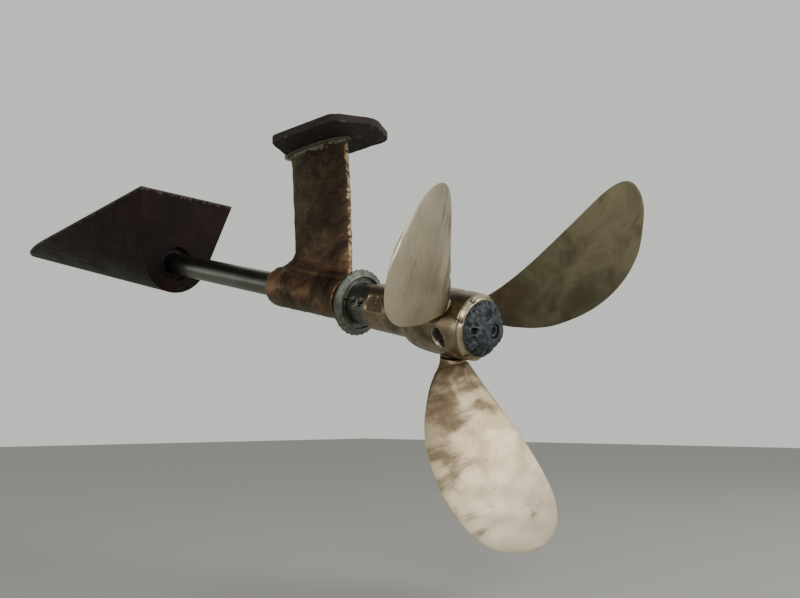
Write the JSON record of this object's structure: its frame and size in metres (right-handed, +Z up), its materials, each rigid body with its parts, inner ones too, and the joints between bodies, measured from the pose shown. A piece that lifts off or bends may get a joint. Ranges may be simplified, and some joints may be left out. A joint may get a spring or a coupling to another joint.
{
  "type": "yacht feathering propeller with shaft, strut and shaft log",
  "caption": "Bronze feathering propeller on its shaft, with line cutter, zinc anode, strut and shaft log, as fitted under a sailing yacht.",
  "frame": {"origin": "middle of the strut palm's flat top face, which is bolted up against the hull", "axes": "+Z up out of the palm into the hull, +Y toward the bow, +X to starboard; the shaft drops 13.9 degrees toward the stern"},
  "size_m": [0.4776, 1.4169, 0.5823],
  "materials": {
    "weathered_bronze": "cast bronze, brown with green patches",
    "hub_bronze": "turned bronze, dulled",
    "blade_bronze": "buffed nickel bronze with brown smudges",
    "bearing_brass": "turned brass",
    "bearing_rubber": "black moulded rubber",
    "stainless_steel": "ground stainless steel",
    "cutter_steel": "dull stainless steel",
    "zinc": "corroded zinc, blue grey",
    "antifouling": "glass fibre under dark red antifouling paint",
    "sealant": "pale hull sealant"
  },
  "bodies": {
    "strut": {"strut_casting": "weathered_bronze", "arm_sealant": "sealant", "bearing_shell": "bearing_brass", "bearing_rubber": "bearing_rubber", "bearing_set_screw": "stainless_steel", "shaft_log_fairing": "antifouling", "log_bearing": "bearing_rubber"},
    "shaft_line": {"propeller_shaft": "stainless_steel", "cutter_half_upper": "cutter_steel", "cutter_half_lower": "cutter_steel", "cutter_screw_1": "stainless_steel", "cutter_screw_2": "stainless_steel", "cutter_screw_3": "stainless_steel", "cutter_screw_4": "stainless_steel", "hub_sleeve": "hub_bronze", "hub_segment_1": "hub_bronze", "hub_segment_2": "hub_bronze", "hub_segment_3": "hub_bronze", "hub_bolt_1": "stainless_steel", "hub_bolt_2": "stainless_steel", "hub_bolt_3": "stainless_steel", "nose_ring": "hub_bronze", "anode_cone": "zinc", "anode_bolt": "stainless_steel", "anode_screw_1": "stainless_steel", "anode_screw_2": "stainless_steel", "anode_screw_3": "stainless_steel"},
    "first_blade": {"blade_1": "blade_bronze"},
    "second_blade": {"blade_2": "blade_bronze"},
    "third_blade": {"blade_3": "blade_bronze"}
  },
  "joints": [
    {"name": "shaft_spin", "type": "hinge", "parent": "strut", "child": "shaft_line", "pos_m": [0, -0.2225, -0.3], "axis": [0, -0.9707, -0.2402], "continuous": true},
    {"name": "blade_1_pitch", "type": "hinge", "parent": "shaft_line", "child": "first_blade", "pos_m": [0, -0.23609, -0.30336], "axis": [0.1908, 0.2358, -0.9529], "range_deg": [0, 145]},
    {"name": "blade_2_pitch", "type": "hinge", "parent": "shaft_line", "child": "second_blade", "pos_m": [0, -0.23609, -0.30336], "axis": [0.7547, -0.1576, 0.6368], "range_deg": [0, 145]},
    {"name": "blade_3_pitch", "type": "hinge", "parent": "shaft_line", "child": "third_blade", "pos_m": [0, -0.23609, -0.30336], "axis": [-0.9455, -0.0782, 0.316], "range_deg": [0, 145]}
  ],
  "couplings": [
    {"joint": "blade_2_pitch", "follows": "blade_1_pitch", "ratio": 1},
    {"joint": "blade_3_pitch", "follows": "blade_1_pitch", "ratio": 1}
  ]
}
